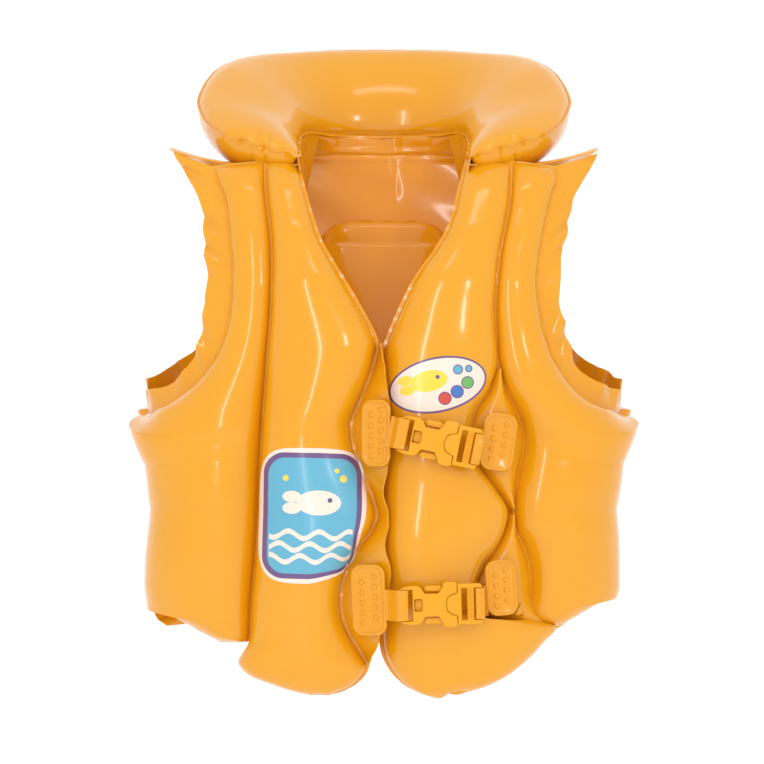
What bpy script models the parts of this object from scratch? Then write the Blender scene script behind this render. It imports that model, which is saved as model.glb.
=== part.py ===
"""Child's inflatable swim vest (life jacket) with two side-release buckles.

Blender 4.5, metres, +Z up. +X is the viewer's right, the vest's front faces -Y, and z = 0 is the lowest
point of the front hem. The origin is midway between the side seams. Outlines are given in millimetres as
seen from the front (x, z) and are laid on the torso's surface, an ellipse in plan.
"""
import math

import bmesh
import bpy
import numpy as np
from mathutils import Matrix, Vector

MM = 0.001
GAP = 0.9 * MM                 # each soft piece stops this far inside its outline
SHARP_ANGLE = math.radians(40)

# torso, as (z, value) pairs in metres
SIDE_HALF_WIDTH = [(0.00, 0.175), (0.08, 0.178), (0.14, 0.173), (0.18, 0.176), (0.215, 0.190), (0.42, 0.192)]
FRONT_DEPTH = [(0.00, 0.080), (0.12, 0.086), (0.31, 0.086), (0.35, 0.076), (0.38, 0.062), (0.41, 0.042)]
BACK_DEPTH = [(0.00, 0.074), (0.20, 0.078), (0.35, 0.078), (0.40, 0.060)]
YOKE_DEPTH = [(0.35, 0.078), (0.44, 0.083)]   # the middle of the back stands straight up to the collar
SIDE_SEAM_GAP = 1.6 * MM       # front and back chambers stop this far from the side seam's plane
FRONT, BACK, YOKE = -1, 1, 2

# half thicknesses of the inflated chambers
LEFT_TUBE = 24 * MM
RIGHT_TUBE = 21.5 * MM         # pressed flatter by the buckles that lie on it
SIDE_TUBE = 21 * MM
BACK_TUBE = 20 * MM
COLLAR_TUBE = 32 * MM

VINYL = 1.4 * MM               # welded double vinyl: flanges, placket and webs
PANEL = 2.0 * MM
PLACKET_RISE = 16              # millimetres that the placket's free edge stands forward over the right half
WEB_RISE = 9                   # millimetres that the straps pull the right webs forward
WELD_GAP = 2.2 * MM            # flat vinyl stops this far from the chamber it is welded to
FLANGE_WIDTH = 19 * MM
SHOULDER_SAG = 8 * MM          # the shoulder panel lies flat and its outer end flares up by this much
RIGHT_FRONT_DROP = 8 * MM      # the right half's free edge tucks this far in, behind the left half

# strap, tab and buckle sizes
STRAP_WIDTH = 23 * MM
STRAP_THICK = 1.7 * MM
STRAP_END_GAP = {-1: 2.8, 1: 1.2}   # millimetres from the strap's end to its tab, left and right
TAB_THICK = 2.6 * MM
BUCKLE_THICK = 9.0 * MM
PLUG_THICK = 6.0 * MM
FACE_PLATE = 2.8 * MM          # the socket's front plate
PRONG_THICK = 3.4 * MM
PLUG_INSET = 0.4 * MM          # the plug's face lies this far below the socket's
PRONG_INSET = 0.5 * MM         # gap between a prong and the socket's front plate
UPPER_BUCKLE = dict(centre=(0.0407, -0.1165, 0.1930), roll=11.6, yaw=4.0)
LOWER_BUCKLE = dict(centre=(0.0421, -0.1165, 0.0722), roll=-1.4, yaw=4.0)
TABS = {
    "left_upper_tab": dict(centre=(-0.0066, -0.1032, 0.1990), size=(24, 50), roll=0, yaw=-28),
    "left_lower_tab": dict(centre=(-0.0120, -0.1010, 0.0745), size=(28, 53), roll=-3, yaw=-25),
    "right_upper_tab": dict(centre=(0.0860, -0.0915, 0.1922), size=(26, 43), roll=8, yaw=14),
    "right_lower_tab": dict(centre=(0.0880, -0.0900, 0.0828), size=(24, 42), roll=-4, yaw=14),
}

ORANGE = (0.93, 0.43, 0.035)
COLOURS = {
    "vinyl": ORANGE + (0.32,),
    "clear_vinyl": (0.90, 0.55, 0.20, 0.25),
    "buckle": (0.92, 0.46, 0.04, 0.45),
}


# ---------------------------------------------------------------- curves and surfaces

def along(profile, z):
    """Value of a (z, value) profile at height z."""
    return float(np.interp(z, [p[0] for p in profile], [p[1] for p in profile]))


def spline(points, count):
    """Catmull-Rom curve through the points, as count points evenly spaced along its length."""
    p = np.array(points, float)
    p = np.vstack([2 * p[0] - p[1], p, 2 * p[-1] - p[-2]])
    fine = []
    for k in range(1, len(p) - 2):
        for t in np.linspace(0, 1, 16, endpoint=False):
            a, b, c, d = p[k - 1], p[k], p[k + 1], p[k + 2]
            fine.append(0.5 * (2 * b + (c - a) * t + (2 * a - 5 * b + 4 * c - d) * t**2
                               + (3 * b - a - 3 * c + d) * t**3))
    fine = np.array(fine + [p[-2]])
    run = np.concatenate([[0], np.cumsum(np.linalg.norm(np.diff(fine, axis=0), axis=1))])
    want = np.linspace(0, run[-1], count)
    return np.stack([np.interp(want, run, fine[:, k]) for k in range(fine.shape[1])], axis=1)


def torso_size(side, z):
    """Half width and depth of the torso's ellipse on one side at height z."""
    depth = {FRONT: FRONT_DEPTH, BACK: BACK_DEPTH, YOKE: YOKE_DEPTH}[side]
    return along(SIDE_HALF_WIDTH, z), along(depth, z)


def torso_angle(side, x, z):
    """Angle round the torso's ellipse of the point seen at x, kept clear of the side seam."""
    half, depth = torso_size(side, z)
    limit = math.acos(min(1.0, SIDE_SEAM_GAP / depth))
    return max(-limit, min(limit, math.asin(max(-1.0, min(1.0, x / half)))))


def torso_point(side, angle, z, out=0.0):
    """Point on the torso's middle surface, moved outward by out."""
    half, depth = torso_size(side, z)
    away = -1 if side == FRONT else 1
    p = np.array([half * math.sin(angle), away * depth * math.cos(angle), z])
    n = np.array([math.sin(angle) / half, away * math.cos(angle) / depth, 0.0])
    return p + n / np.linalg.norm(n) * out


def wrapped(side, edge_a, edge_b, rows, columns, inset=GAP, lift=None):
    """Grid of points on the torso between two outlines given from top to bottom in millimetres."""
    a, b = spline(edge_a, rows) * MM, spline(edge_b, rows) * MM
    grid = []
    for (xa, za), (xb, zb) in zip(a, b):
        step = inset * (1 if xb > xa else -1)
        angle_a, angle_b = torso_angle(side, xa + step, za), torso_angle(side, xb - step, zb)
        row = []
        for k in range(columns):
            u = (1 - math.cos(math.pi * k / (columns - 1))) / 2
            x_angle, z = angle_a + (angle_b - angle_a) * u, za + (zb - za) * u
            row.append(torso_point(side, x_angle, z, lift(u) if lift else 0.0))
        grid.append(row)
    return np.array(grid)


def grid_normals(grid):
    """Unit normals of a grid of points."""
    across = np.gradient(grid, axis=1)
    down = np.gradient(grid, axis=0)
    n = np.cross(across, down)
    return n / np.maximum(np.linalg.norm(n, axis=2, keepdims=True), 1e-9)


# ---------------------------------------------------------------- solids

def material(kind):
    """The Principled material of one kind, made once."""
    if kind in bpy.data.materials:
        return bpy.data.materials[kind]
    r, g, b, rough = COLOURS[kind]
    m = bpy.data.materials.new(kind)
    m.use_nodes = True
    shader = m.node_tree.nodes["Principled BSDF"]
    shader.inputs["Base Color"].default_value = (r, g, b, 1)
    shader.inputs["Roughness"].default_value = rough
    m.diffuse_color = (r, g, b, 1)
    return m


def add(name, bm, kind="vinyl", matrix=None, origin=None):
    """Turn a bmesh into a named object with its own material and its origin where it is asked for."""
    if matrix is not None:
        bmesh.ops.transform(bm, matrix=matrix, verts=bm.verts)
    bmesh.ops.recalc_face_normals(bm, faces=bm.faces)
    bmesh.ops.triangulate(bm, faces=[f for f in bm.faces if len(f.verts) > 4])
    place = Vector(origin) if origin is not None else Vector((0, 0, 0))
    bmesh.ops.translate(bm, verts=bm.verts, vec=-place)
    mesh = bpy.data.meshes.new(name)
    bm.to_mesh(mesh)
    bm.free()
    mesh.materials.append(material(kind).copy())
    mesh.materials[0].name = name + "_finish"
    obj = bpy.data.objects.new(name, mesh)
    obj.location = place
    bpy.context.collection.objects.link(obj)
    mesh.shade_smooth()
    mesh.set_sharp_from_angle(angle=SHARP_ANGLE)
    return obj


def pillow(name, grid, thick, under=1.0, power=0.62, end_length=0.22):
    """Closed lens on a grid: the two skins meet all round its edge, as two welded sheets blown up do."""
    rows, columns = grid.shape[:2]
    normal = grid_normals(grid)
    bm = bmesh.new()
    front, back = {}, {}
    for i in range(rows):
        t = i / (rows - 1)
        end = min(1.0, min(t, 1 - t) / end_length)
        swell = math.sqrt(1 - (1 - end) ** 2)
        for j in range(columns):
            u = (1 - math.cos(math.pi * j / (columns - 1))) / 2
            h = thick * swell * max(0.0, 4 * u * (1 - u)) ** power
            if i in (0, rows - 1) or j in (0, columns - 1):
                front[i, j] = back[i, j] = bm.verts.new(grid[i, j])
            else:
                front[i, j] = bm.verts.new(grid[i, j] + normal[i, j] * h)
                back[i, j] = bm.verts.new(grid[i, j] - normal[i, j] * h * under)
    for i in range(rows - 1):
        for j in range(columns - 1):
            for skin in (front, back):
                corners = [skin[i, j], skin[i, j + 1], skin[i + 1, j + 1], skin[i + 1, j]]
                bm.faces.new(corners if skin is front else corners[::-1])
    bmesh.ops.triangulate(bm, faces=bm.faces)
    return add(name, bm)


def sheet(name, grid, thick):
    """Closed slab of one thickness on a grid of points."""
    rows, columns = grid.shape[:2]
    normal = grid_normals(grid)
    bm = bmesh.new()
    skins = [[[bm.verts.new(grid[i, j] + normal[i, j] * s * thick / 2) for j in range(columns)]
              for i in range(rows)] for s in (1, -1)]
    for i in range(rows - 1):
        for j in range(columns - 1):
            for skin in skins:
                bm.faces.new([skin[i][j], skin[i][j + 1], skin[i + 1][j + 1], skin[i + 1][j]])
    rim = [(0, j) for j in range(columns)] + [(i, columns - 1) for i in range(1, rows)]
    rim += [(rows - 1, j) for j in range(columns - 2, -1, -1)] + [(i, 0) for i in range(rows - 2, 0, -1)]
    for (i, j), (k, m) in zip(rim, rim[1:] + rim[:1]):
        bm.faces.new([skins[0][i][j], skins[0][k][m], skins[1][k][m], skins[1][i][j]])
    bmesh.ops.triangulate(bm, faces=bm.faces)
    return add(name, bm)


def prism(outline, low, high):
    """Bmesh of an outline of (x, y) millimetres extruded between two heights in metres."""
    bm = bmesh.new()
    bottom = [bm.verts.new((x * MM, y * MM, low)) for x, y in outline]
    top = [bm.verts.new((x * MM, y * MM, high)) for x, y in outline]
    bm.faces.new(bottom[::-1])
    bm.faces.new(top)
    for k in range(len(outline)):
        m = (k + 1) % len(outline)
        bm.faces.new([bottom[k], bottom[m], top[m], top[k]])
    bmesh.ops.recalc_face_normals(bm, faces=bm.faces)
    return bm


def mirrored(half):
    """Whole outline from its upper half, whose two ends lie on the mirror line."""
    return half + [(x, -y) for x, y in half[-2:0:-1]]


def cut(obj, cutter_bm, name, operation="DIFFERENCE"):
    """Boolean one bmesh into an object and leave the cutter hidden."""
    mesh = bpy.data.meshes.new(name)
    cutter_bm.to_mesh(mesh)
    cutter_bm.free()
    cutter = bpy.data.objects.new(name, mesh)
    bpy.context.collection.objects.link(cutter)
    cutter.matrix_basis = obj.matrix_basis.copy()
    cutter.hide_render = True
    cutter.display_type = "WIRE"
    modifier = obj.modifiers.new(name, "BOOLEAN")
    modifier.operation = operation
    modifier.solver = "EXACT"
    modifier.object = cutter


def rounded(width, height, radius, corner_steps=3):
    """Rounded rectangle outline in millimetres about the origin."""
    out = []
    for cx, cy, start in ((1, 1, 0), (-1, 1, 90), (-1, -1, 180), (1, -1, 270)):
        for k in range(corner_steps + 1):
            angle = math.radians(start + 90 * k / corner_steps)
            out.append((cx * (width / 2 - radius) + radius * math.cos(angle),
                        cy * (height / 2 - radius) + radius * math.sin(angle)))
    return out


def pose(centre, roll, yaw):
    """Matrix of a piece lying on the front: local x along it, y up it, z out of the vest."""
    facing = Matrix(((1, 0, 0, 0), (0, 0, -1, 0), (0, 1, 0, 0), (0, 0, 0, 1)))
    turn = Matrix.Rotation(math.radians(yaw), 4, "Z")
    tilt = Matrix.Rotation(math.radians(-roll), 4, "Z")
    return Matrix.Translation(centre) @ turn @ facing @ tilt


# ---------------------------------------------------------------- chambers

LEFT_VALLEY = [(-92, 390), (-86, 345), (-86, 296), (-89, 248), (-93, 173), (-96, 108), (-100, 50), (-109, 30)]
RIGHT_VALLEY = [(96, 390), (89, 345), (85, 303), (85, 252)]
LEFT_ARMHOLE = [(-128, 390), (-121, 372), (-117, 334), (-117, 300), (-122, 268), (-134, 245), (-152, 227),
                (-188, 213)]
RIGHT_ARMHOLE = [(132, 390), (124, 360), (118, 327), (117, 300), (122, 272), (131, 249), (150, 226),
                 (185, 213)]
BACK_ARMHOLE = [(-132, 390), (-122, 366), (-117, 330), (-117, 296), (-124, 264), (-138, 243), (-156, 229),
                (-188, 214)]
LEFT_FRONT_EDGE = [(-66, 390), (-58, 374), (-48, 347), (-24, 306), (-7, 272), (-10, 240), (-22, 212),
                   (-21, 186), (-9, 156), (-7, 134), (-22, 103), (-30, 78), (-26, 50), (-13, 30)]
RIGHT_FRONT_EDGE = [(62, 390), (50, 358), (26, 319), (9, 287), (0, 262), (-3, 238), (-3, 150), (-3, 60),
                    (-1, 34)]
RIGHT_TUBE_EDGE = RIGHT_VALLEY + [(77, 229), (67, 208), (65, 180), (76, 160), (92, 141), (88, 119),
                                  (73, 97), (66, 78), (70, 60)]
RIGHT_SIDE_EDGE = RIGHT_VALLEY + [(93, 228), (104, 199), (101, 168), (97, 140), (103, 116), (110, 90),
                                  (108, 66)]


def chambers():
    """The vest's air chambers: two in each front half and three across the back."""
    left_hem = [(-98, 14), (-76, 5), (-52, 1)]
    pillow("left_front_chamber",
           wrapped(FRONT, LEFT_VALLEY + left_hem, LEFT_FRONT_EDGE + [(-20, 11), (-40, 1)], 20, 8),
           LEFT_TUBE)
    pillow("left_side_chamber",
           wrapped(FRONT, LEFT_ARMHOLE + [(-186, 186), (-183, 130), (-186, 90), (-176, 68), (-150, 52)],
                   LEFT_VALLEY[:-1] + [(-104, 41), (-124, 38)], 20, 8), SIDE_TUBE)
    pillow("right_front_chamber",
           wrapped(FRONT, RIGHT_FRONT_EDGE + [(6, 19), (24, 4), (42, 1)],
                   RIGHT_TUBE_EDGE + [(98, 44), (112, 32), (92, 13), (60, 2)], 24, 8,
                   lift=lambda u: -RIGHT_FRONT_DROP * (1 - u) ** 2), RIGHT_TUBE)
    pillow("right_side_chamber",
           wrapped(FRONT, RIGHT_SIDE_EDGE + [(116, 60), (130, 56)],
                   RIGHT_ARMHOLE + [(184, 190), (180, 150), (184, 92), (172, 74), (150, 63)], 22, 8),
           SIDE_TUBE)
    pillow("back_center_chamber",
           wrapped(BACK, [(-40, 361), (-54, 340), (-56, 300), (-56, 80), (-54, 50), (-40, 24)],
                   [(40, 361), (54, 340), (56, 300), (56, 80), (54, 50), (40, 24)], 14, 8), BACK_TUBE)
    for name, s in (("back_left_chamber", -1), ("back_right_chamber", 1)):
        inner = [(s * x, z) for x, z in [(70, 388), (61, 368), (58, 330), (58, 200), (58, 80), (61, 50), (78, 32)]]
        outer = [(-s * x, z) for x, z in [(-118, 389)] + BACK_ARMHOLE[1:]
                 + [(-186, 186), (-183, 130), (-186, 90), (-170, 62), (-130, 42)]]
        pillow(name, wrapped(BACK, inner, outer, 18, 8), BACK_TUBE)


def collar():
    """Horseshoe pillow round the neck: two sheets welded at the neck edge and at the outer rim."""
    inner = [(0.0670, -0.057, 0.4090), (0.0630, -0.045, 0.4105), (0.0655, 0.000, 0.4215),
             (0.0610, 0.045, 0.4345), (0.0380, 0.074, 0.4350), (0.0, 0.083, 0.4345)]
    outer = [(0.1240, -0.036, 0.4275), (0.1360, -0.015, 0.4360), (0.1435, 0.005, 0.4460),
             (0.1480, 0.034, 0.4620), (0.1370, 0.070, 0.4870), (0.1140, 0.098, 0.5010),
             (0.0600, 0.118, 0.5090), (0.0, 0.124, 0.5110)]
    a, b = (spline([(-x, y, z) for x, y, z in half] + half[-2::-1], 33) for half in (inner, outer))
    columns = 9
    u = (1 - np.cos(np.pi * np.arange(columns) / (columns - 1))) / 2
    grid = a[:, None] + (b - a)[:, None] * u[None, :, None]
    pillow("collar_pillow", grid, COLLAR_TUBE, under=0.5, end_length=0.16)


# ---------------------------------------------------------------- flat vinyl

def offset_outline(outline, width, count, outward):
    """Copy of an outline moved sideways by width millimetres; outward is +1 or -1 along x."""
    p = spline(outline, count)
    along_it = np.gradient(p, axis=0)
    side = np.stack([-along_it[:, 1], along_it[:, 0]], axis=1)
    side /= np.linalg.norm(side, axis=1, keepdims=True)
    if np.sum(side[:, 0]) * outward < 0:
        side = -side
    return p, p + side * width


def flat_vinyl():
    """The flat welded parts: placket, webs, yoke, shoulder panels and armhole flanges."""
    width = FLANGE_WIDTH / MM
    placket_edge = [(0, 262), (2, 240), (5, 213), (5, 186), (1, 160), (3, 134), (1, 115), (5, 98), (3, 80),
                    (-1, 56), (-4, 42)]
    weld = LEFT_FRONT_EDGE[4:]
    grid = wrapped(FRONT, weld, placket_edge, 16, 5, lift=lambda u: (1 + PLACKET_RISE * u) * MM,
                   inset=WELD_GAP)
    sheet("left_placket", grid, VINYL)
    webs = {"right_upper_web": ([(79, 231), (67, 208), (65, 180), (76, 160), (86, 151)],
                                [(93, 231), (104, 201), (101, 168), (98, 151)]),
            "right_lower_web": ([(89, 124), (83, 111), (73, 97), (66, 78), (70, 60), (86, 51)],
                                [(99, 124), (104, 112), (110, 90), (107, 66), (99, 54)])}
    for name, (a, b) in webs.items():
        sheet(name, wrapped(FRONT, a, b, 9, 5, inset=WELD_GAP,
                            lift=lambda u: WEB_RISE * math.sin(math.pi * u) * MM), VINYL)
    sheet("back_yoke", wrapped(YOKE, [(-58, 425), (-57, 400), (-52, 376), (-43, 364)],
                               [(58, 425), (57, 400), (52, 376), (43, 364)], 6, 10), PANEL)
    back_seam = BACK_ARMHOLE[:-2] + [(-158, 232), (-186, 221)]
    flanges = {"left_front_armhole_flange": (FRONT, LEFT_ARMHOLE[:-2] + [(-154, 230), (-186, 219)], -1),
               "right_front_armhole_flange": (FRONT, RIGHT_ARMHOLE[:-2] + [(152, 229), (184, 219)], 1),
               "left_back_armhole_flange": (BACK, back_seam, -1),
               "right_back_armhole_flange": (BACK, [(-x, z) for x, z in back_seam], 1)}
    for name, (side, seam, outward) in flanges.items():
        near, far = offset_outline(seam, width, 14, outward)
        far[-1] = (near[-1][0], near[-1][1] + width)
        sheet(name, wrapped(side, near, far, 14, 3, inset=WELD_GAP), VINYL)
    for name, s in (("left_shoulder_panel", -1), ("right_shoulder_panel", 1)):
        inner = spline([(s * 0.068, -0.034, 0.3965), (s * 0.068, 0.02, 0.3990), (s * 0.066, 0.054, 0.3965)], 6)
        outer = spline([(s * 0.160, -0.014, 0.4080), (s * 0.163, 0.006, 0.4120), (s * 0.150, 0.034, 0.4060)], 6)
        u = np.array([0, 0.45, 0.7, 1])
        grid = inner[:, None] + (outer - inner)[:, None] * u[None, :, None]
        grid[:, 1:3, 2] -= SHOULDER_SAG
        sheet(name, grid, PANEL)
    for name, s in (("left_neck_strip", -1), ("right_neck_strip", 1)):
        low = spline([(s * 0.0635, -0.040, 0.3990), (s * 0.0630, 0.0, 0.4010), (s * 0.0600, 0.045, 0.4020)], 5)
        high = spline([(s * 0.0640, -0.040, 0.4080), (s * 0.0645, 0.0, 0.4180), (s * 0.0605, 0.040, 0.4300)], 5)
        sheet(name, np.stack([low, high], axis=1), VINYL)


# ---------------------------------------------------------------- tabs, straps and buckles

def tabs():
    """Moulded pads welded to the front, each holding one strap."""
    for name, t in TABS.items():
        bm = prism(rounded(*t["size"], 6), -TAB_THICK, 0)
        add(name, bm, matrix=pose(t["centre"], t["roll"], t["yaw"]))


SOCKET_HALF = [(-30.7, 0), (-30.7, 11.2), (-29.2, 12.8), (-24, 14.2), (-17, 14.2), (-14.6, 12.6), (-12, 8.4),
               (-2, 8.4), (0.4, 11.0), (2.2, 15.6), (4, 16.7), (10.4, 16.7), (12.1, 15.2), (11.7, 8.6),
               (7.4, 7.4), (4.6, 5.0), (3.6, 0)]
PLUG_HALF = [(4.0, 0), (5.0, 4.6), (7.7, 6.9), (12.1, 8.2), (12.6, 9.0), (12.6, 15.0), (29, 15.0),
             (30.7, 13.4), (30.7, 0)]
PRONG = [(12.2, 9.4), (12.2, 12.3), (1.4, 12.7), (-0.9, 14.2), (-10.6, 14.2), (-12.2, 12.2), (-11.0, 9.9),
         (0.6, 9.6)]
PRONG_ROOT = (12.2, 10.85)     # where a prong bends, at the plug's shoulder


def buckle(level, spec):
    """One side-release buckle: socket, plug with its guide, and the two prongs that squeeze in."""
    place = pose(**spec)
    socket = add(f"{level}_socket", prism(mirrored(SOCKET_HALF), -BUCKLE_THICK, 0), "buckle")
    cavity = [(-12.8, 13.0), (14, 13.0), (14, -13.0), (-12.8, -13.0), (-12.8, -5.4), (-20.4, -5.4),
              (-20.4, 5.4), (-12.8, 5.4)]
    cut(socket, prism(cavity, -BUCKLE_THICK - 1 * MM, -FACE_PLATE), f"{level}_socket_cavity")
    slot = [(-25.7, -11.8), (-20.9, -11.8), (-20.9, 11.8), (-25.7, 11.8)]
    cut(socket, prism(slot, -BUCKLE_THICK - 1 * MM, 1 * MM), f"{level}_socket_slot")
    window = [(-19.9, -4.6), (-14.2, -4.6), (-13.4, -2.6), (-13.4, 2.6), (-14.2, 4.6), (-19.9, 4.6)]
    cut(socket, prism(window, -FACE_PLATE - 1 * MM, 1 * MM), f"{level}_socket_window")
    for face, low, high in (("front", -2.0, 1.0), ("rear", -10.0, -6.0)):
        rebate = [(-32, -12.0), (-25.6, -12.0), (-25.6, 12.0), (-32, 12.0)]
        cut(socket, prism(rebate, low * MM, high * MM), f"{level}_socket_{face}_rebate")

    plug = add(f"{level}_plug", prism(mirrored(PLUG_HALF), -PLUG_THICK - PLUG_INSET, -PLUG_INSET), "buckle")
    guide = [(8, -4.1), (8, 4.1), (-18.0, 4.1), (-19.2, 2.6), (-19.2, -2.6), (-18.0, -4.1)]
    cut(plug, prism(guide, -PLUG_THICK, -FACE_PLATE - PLUG_INSET), f"{level}_plug_guide", "UNION")
    for which, low, high in (("inner", 15.2, 19.6), ("outer", 24.6, 27.4)):
        gap = [(low, -12), (high, -12), (high, 12), (low, 12)]
        cut(plug, prism(gap, -BUCKLE_THICK, 1 * MM), f"{level}_plug_{which}_slot")
    for face, low, high in (("front", -2.2, 1.0), ("rear", -8.0, -5.2)):
        rebate = [(27.3, -12.1), (32, -12.1), (32, 12.1), (27.3, 12.1)]
        cut(plug, prism(rebate, low * MM, high * MM), f"{level}_plug_{face}_rebate")

    for which, s in (("top", 1), ("bottom", -1)):
        outline = [(x, s * y) for x, y in PRONG]
        top = -FACE_PLATE - PRONG_INSET
        bm = prism(outline, top - PRONG_THICK, top)
        root = place @ Vector((PRONG_ROOT[0] * MM, s * PRONG_ROOT[1] * MM, top - PRONG_THICK / 2))
        add(f"{level}_{which}_prong", bm, "buckle", matrix=place, origin=root)
    for obj in [o for o in bpy.data.objects if o.name.startswith((f"{level}_socket", f"{level}_plug"))]:
        obj.matrix_world = place
    return place


def ribbon(name, path, width, thick, matrix):
    """Flat strap of one thickness that follows (along, out) points in millimetres."""
    p = np.array(path, float) * MM
    ahead = np.gradient(p, axis=0)
    for k in range(1, len(p) - 1):
        a, b = p[k] - p[k - 1], p[k + 1] - p[k]
        ahead[k] = a / np.linalg.norm(a) + b / np.linalg.norm(b)
    ahead /= np.linalg.norm(ahead, axis=1, keepdims=True)
    side = np.stack([-ahead[:, 1], ahead[:, 0]], axis=1)
    outline = list(p + side * thick / 2) + list((p - side * thick / 2)[::-1])
    bm = bmesh.new()
    ends = [[bm.verts.new((x, s * width / 2, z)) for x, z in outline] for s in (1, -1)]
    count = len(p)
    for k in range(2 * count):
        m = (k + 1) % (2 * count)
        bm.faces.new([ends[0][k], ends[0][m], ends[1][m], ends[1][k]])
    for side_verts in ends:
        for k in range(count - 1):
            bm.faces.new([side_verts[k], side_verts[k + 1], side_verts[2 * count - 2 - k],
                          side_verts[2 * count - 1 - k]])
    return add(name, bm, matrix=matrix)


def strap(name, place, bar_edge, bar_width, rear, side, tab):
    """Vinyl strap looped round a buckle's bar and running to its tab's edge."""
    t = TABS[tab]
    edge = pose(t["centre"], t["roll"], t["yaw"]) @ Vector((side * -t["size"][0] / 2 * MM, 0, -TAB_THICK / 2))
    end = place.inverted() @ edge
    end_x, end_out = end.x / MM - side * STRAP_END_GAP[side], end.z / MM
    loop = [(0.9 - bar_width, -rear), (0.3, -rear), (1.3, 0.9 - rear)]
    path = [(bar_edge - side * a, out) for a, out in loop]
    path += [(bar_edge - side * 1.3, -2.6), (bar_edge - side * 0.8, -1.1), (bar_edge + side * 0.5, -0.75),
             (bar_edge + side * (bar_width - 0.6), -0.75), (bar_edge + side * (bar_width + 1.4), -1.8)]
    path += [(end_x - side * 1.0, end_out + 1.2), (end_x, end_out)]
    ribbon(name, path, STRAP_WIDTH, STRAP_THICK, place)


# ---------------------------------------------------------------- valves

def turned(profile, steps=12):
    """Bmesh turned about local z from (radius, height) millimetres listed round the section."""
    bm = bmesh.new()
    rings = []
    for r, z in profile:
        if r == 0:
            rings.append([bm.verts.new((0, 0, z * MM))])
        else:
            rings.append([bm.verts.new((r * MM * math.cos(2 * math.pi * k / steps),
                                        r * MM * math.sin(2 * math.pi * k / steps), z * MM))
                          for k in range(steps)])
    closed = profile[0][0] > 0
    pairs = list(zip(rings, rings[1:])) + ([(rings[-1], rings[0])] if closed else [])
    for a, b in pairs:
        for k in range(steps):
            m = (k + 1) % steps
            corners = [a[k % len(a)], a[m % len(a)], b[m % len(b)], b[k % len(b)]]
            bm.faces.new(list(dict.fromkeys(corners)))
    bmesh.ops.recalc_face_normals(bm, faces=bm.faces)
    return bm


def valve(label, chamber, point, outward):
    """Inflation valve: welded collar, sliding stem, check flap inside it and a tethered cap."""
    axis = Vector(outward).normalized()
    frame = Matrix.Translation(point) @ axis.to_track_quat("Z", "Y").to_matrix().to_4x4()
    hole = turned([(0, -14), (6.4, -14), (6.4, 6), (0, 6)], 12)
    bmesh.ops.transform(hole, matrix=frame, verts=hole.verts)
    cut(bpy.data.objects[chamber], hole, f"{label}_valve_hole")
    add(f"{label}_valve_base", turned([(5.2, -3), (6.1, -3), (6.1, 0.6), (9.0, 0.9), (9.0, 1.9), (5.2, 2.2)]),
        "clear_vinyl", matrix=frame)
    add(f"{label}_valve_stem", turned([(3.3, -9), (4.9, -9), (4.9, 3.2), (3.3, 3.2)]), "clear_vinyl",
        matrix=frame, origin=point)
    add(f"{label}_valve_flap", turned([(0, -8.2), (2.9, -8.2), (2.9, -7.4), (0, -7.4)], 10), "clear_vinyl",
        matrix=frame)
    cap = turned([(0, 1.7), (2.3, 1.7), (2.7, 3.6), (5.4, 3.6), (5.4, 4.6), (4.2, 5.4), (0, 5.6)], 12)
    hinge = frame @ Vector((8.4 * MM, 0, 4.1 * MM))
    add(f"{label}_valve_cap", cap, "clear_vinyl", matrix=frame, origin=hinge)
    tether = prism([(4.4, -1.2), (8.6, -1.2), (8.6, 1.2), (4.4, 1.2)], 3.7 * MM, 4.5 * MM)
    cap_object = bpy.data.objects[f"{label}_valve_cap"]
    bmesh.ops.transform(tether, matrix=Matrix.Translation(-hinge) @ frame, verts=tether.verts)
    cut(cap_object, tether, f"{label}_valve_tether", "UNION")


def main():
    for obj in list(bpy.data.objects):
        bpy.data.objects.remove(obj)
    chambers()
    collar()
    flat_vinyl()
    tabs()
    for level, spec in (("upper", UPPER_BUCKLE), ("lower", LOWER_BUCKLE)):
        place = buckle(level, spec)
        strap(f"left_{level}_strap", place, -25.7, 5.0, 7.3, -1, f"left_{level}_tab")
        strap(f"right_{level}_strap", place, 27.4, 3.3, 6.5, 1, f"right_{level}_tab")
    valve("left_front", "left_front_chamber", (-0.055, -0.0584, 0.205), (0.15, 1, 0))
    valve("right_front", "right_front_chamber", (0.035, -0.0615, 0.205), (0.03, 1, 0))
    valve("back", "back_center_chamber", (0.0, 0.0970, 0.300), (0, 1, 0))
    valve("collar", "collar_pillow", (0.0, 0.1317, 0.4577), (0, 0.90, -0.42))


main()
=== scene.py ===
import math

import bmesh
import bpy
import numpy as np
from mathutils import Matrix, Vector
from mathutils.bvhtree import BVHTree


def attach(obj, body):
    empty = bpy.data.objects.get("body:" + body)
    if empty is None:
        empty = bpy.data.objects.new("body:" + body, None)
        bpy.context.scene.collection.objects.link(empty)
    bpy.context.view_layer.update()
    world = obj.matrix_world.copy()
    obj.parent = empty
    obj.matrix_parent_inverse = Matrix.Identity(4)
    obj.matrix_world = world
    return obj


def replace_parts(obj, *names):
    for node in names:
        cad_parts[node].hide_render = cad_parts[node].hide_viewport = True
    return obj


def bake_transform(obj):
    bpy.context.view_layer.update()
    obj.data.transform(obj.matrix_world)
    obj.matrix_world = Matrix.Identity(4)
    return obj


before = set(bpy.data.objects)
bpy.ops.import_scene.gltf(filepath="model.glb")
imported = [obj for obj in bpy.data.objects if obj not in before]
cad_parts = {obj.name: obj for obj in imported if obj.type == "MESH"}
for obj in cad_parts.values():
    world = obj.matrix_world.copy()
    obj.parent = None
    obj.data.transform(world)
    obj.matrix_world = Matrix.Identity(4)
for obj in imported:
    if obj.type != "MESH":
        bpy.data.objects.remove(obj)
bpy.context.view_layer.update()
MM = 0.001

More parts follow.
